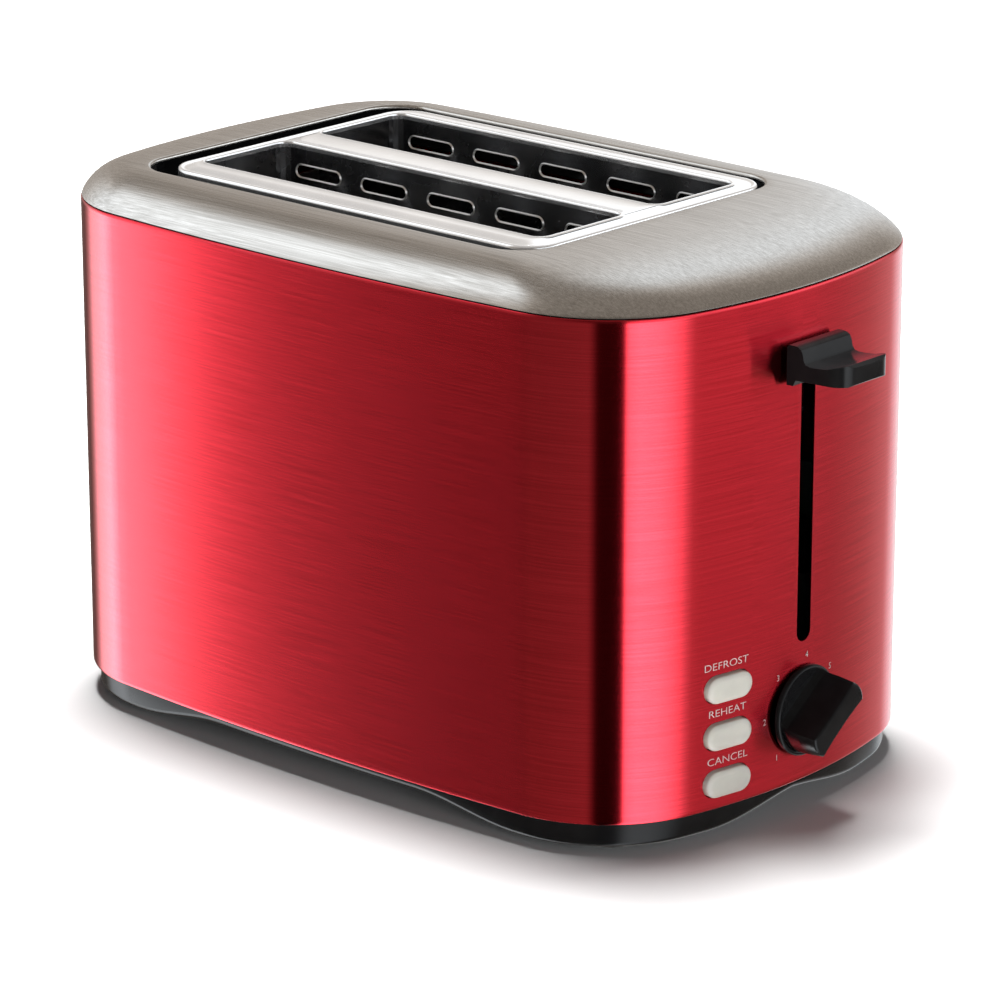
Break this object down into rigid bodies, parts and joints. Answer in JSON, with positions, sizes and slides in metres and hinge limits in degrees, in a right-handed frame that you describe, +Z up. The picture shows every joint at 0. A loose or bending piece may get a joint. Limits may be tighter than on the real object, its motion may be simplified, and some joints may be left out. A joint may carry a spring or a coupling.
{
  "type": "pop-up toaster",
  "caption": "Pop-up toaster with an oval wrapped metal body, brushed domed top, long bread slots, side lever, browning dial and push buttons.",
  "frame": {"origin": "centre of the object's own bottom, in the plane the feet stand on", "axes": "+X along the body's length towards the lever and the dial, +Y across the body from the front slot to the back slot, +Z up"},
  "size_m": [0.2858, 0.1654, 0.1782],
  "materials": {
    "red_lacquer": "translucent red lacquer over brushed sheet",
    "brushed_steel": "satin, brushed along the length",
    "polished_steel": "bright, lightly heat-tinted inside",
    "galvanised_sheet": "dull zinc sheet",
    "black_moulding": "satin black moulding",
    "rubber": "matt",
    "cream_plastic": "satin warm grey",
    "mica": "flaky, matt",
    "heating_wire": "oxidised ribbon",
    "copper": "enamelled winding",
    "circuit_board": "solder mask",
    "white_plastic": "matt"
  },
  "bodies": {
    "casing": {"wrap_band": "red_lacquer", "top_cover": "brushed_steel", "slot_plate": "polished_steel", "slot_surround": "black_moulding", "slot_liner_front": "polished_steel", "slot_liner_back": "polished_steel", "base_pan": "black_moulding", "foot_1": "rubber", "foot_2": "rubber", "foot_3": "rubber", "foot_4": "rubber", "base_screw_1": "galvanised_sheet", "base_screw_2": "galvanised_sheet", "base_screw_3": "galvanised_sheet", "base_screw_4": "galvanised_sheet", "cord_gland": "black_moulding", "terminal_block": "white_plastic", "end_plate_front": "galvanised_sheet", "end_plate_rear": "galvanised_sheet", "reflector_front": "galvanised_sheet", "reflector_back": "galvanised_sheet", "mica_board_front": "mica", "mica_board_centre": "mica", "mica_board_back": "mica", "heating_wire_front": "heating_wire", "heating_wire_centre_front": "heating_wire", "heating_wire_centre_back": "heating_wire", "heating_wire_back": "heating_wire", "magnet_core": "galvanised_sheet", "magnet_coil": "copper", "guide_rod": "polished_steel", "rod_bracket": "galvanised_sheet", "lift_spring": "polished_steel", "dial_bracket": "galvanised_sheet", "potentiometer": "black_moulding", "cancel_switch": "black_moulding", "reheat_switch": "black_moulding", "defrost_switch": "black_moulding", "button_board": "circuit_board", "control_board": "circuit_board", "mains_switch": "white_plastic", "capacitor": "black_moulding"},
    "carriage": {"carriage_bracket": "galvanised_sheet", "magnet_keeper": "galvanised_sheet", "bread_rack_front": "polished_steel", "bread_rack_back": "polished_steel", "lever_knob": "black_moulding"},
    "front_outer_guard": {"guard_front_outer": "polished_steel"},
    "front_inner_guard": {"guard_front_inner": "polished_steel"},
    "back_inner_guard": {"guard_back_inner": "polished_steel"},
    "back_outer_guard": {"guard_back_outer": "polished_steel"},
    "dial": {"browning_knob": "black_moulding", "dial_shaft": "galvanised_sheet"},
    "cancel_key": {"cancel_button": "cream_plastic"},
    "reheat_key": {"reheat_button": "cream_plastic"},
    "defrost_key": {"defrost_button": "cream_plastic"},
    "tray": {"crumb_tray": "galvanised_sheet"}
  },
  "joints": [
    {"name": "carriage_slide", "type": "slide", "parent": "casing", "child": "carriage", "axis": [0, 0, -1], "range_m": [0, 0.078], "stiffness_N_per_m": 60, "springref_m": -0.06, "deforming": ["lift_spring"]},
    {"name": "front_outer_guard_swing", "type": "hinge", "parent": "casing", "child": "front_outer_guard", "pos_m": [-0.00965, -0.03885, 0.034], "axis": [-1, 0, 0], "range_deg": [0, 2.5]},
    {"name": "front_inner_guard_swing", "type": "hinge", "parent": "casing", "child": "front_inner_guard", "pos_m": [-0.00965, -0.01425, 0.034], "axis": [1, 0, 0], "range_deg": [0, 2.5]},
    {"name": "back_inner_guard_swing", "type": "hinge", "parent": "casing", "child": "back_inner_guard", "pos_m": [-0.00965, 0.01425, 0.034], "axis": [-1, 0, 0], "range_deg": [0, 2.5]},
    {"name": "back_outer_guard_swing", "type": "hinge", "parent": "casing", "child": "back_outer_guard", "pos_m": [-0.00965, 0.03885, 0.034], "axis": [1, 0, 0], "range_deg": [0, 2.5]},
    {"name": "dial_turn", "type": "hinge", "parent": "casing", "child": "dial", "pos_m": [0.12035, 0, 0.033], "axis": [1, 0, 0], "range_deg": [-96, 192]},
    {"name": "cancel_press", "type": "slide", "parent": "casing", "child": "cancel_key", "axis": [-0.9861, 0.1663, 0], "range_m": [0, 0.0018], "stiffness_N_per_m": 400, "springref_m": -0.001},
    {"name": "reheat_press", "type": "slide", "parent": "casing", "child": "reheat_key", "axis": [-0.9861, 0.1663, 0], "range_m": [0, 0.0018], "stiffness_N_per_m": 400, "springref_m": -0.001},
    {"name": "defrost_press", "type": "slide", "parent": "casing", "child": "defrost_key", "axis": [-0.9861, 0.1663, 0], "range_m": [0, 0.0018], "stiffness_N_per_m": 400, "springref_m": -0.001},
    {"name": "tray_slide", "type": "slide", "parent": "casing", "child": "tray", "axis": [-1, 0, 0], "range_m": [0, 0.19]}
  ],
  "couplings": [
    {"joint": "front_outer_guard_swing", "follows": "carriage_slide", "rad_per_m": 0.5586},
    {"joint": "front_inner_guard_swing", "follows": "carriage_slide", "rad_per_m": 0.5586},
    {"joint": "back_inner_guard_swing", "follows": "carriage_slide", "rad_per_m": 0.5586},
    {"joint": "back_outer_guard_swing", "follows": "carriage_slide", "rad_per_m": 0.5586}
  ]
}
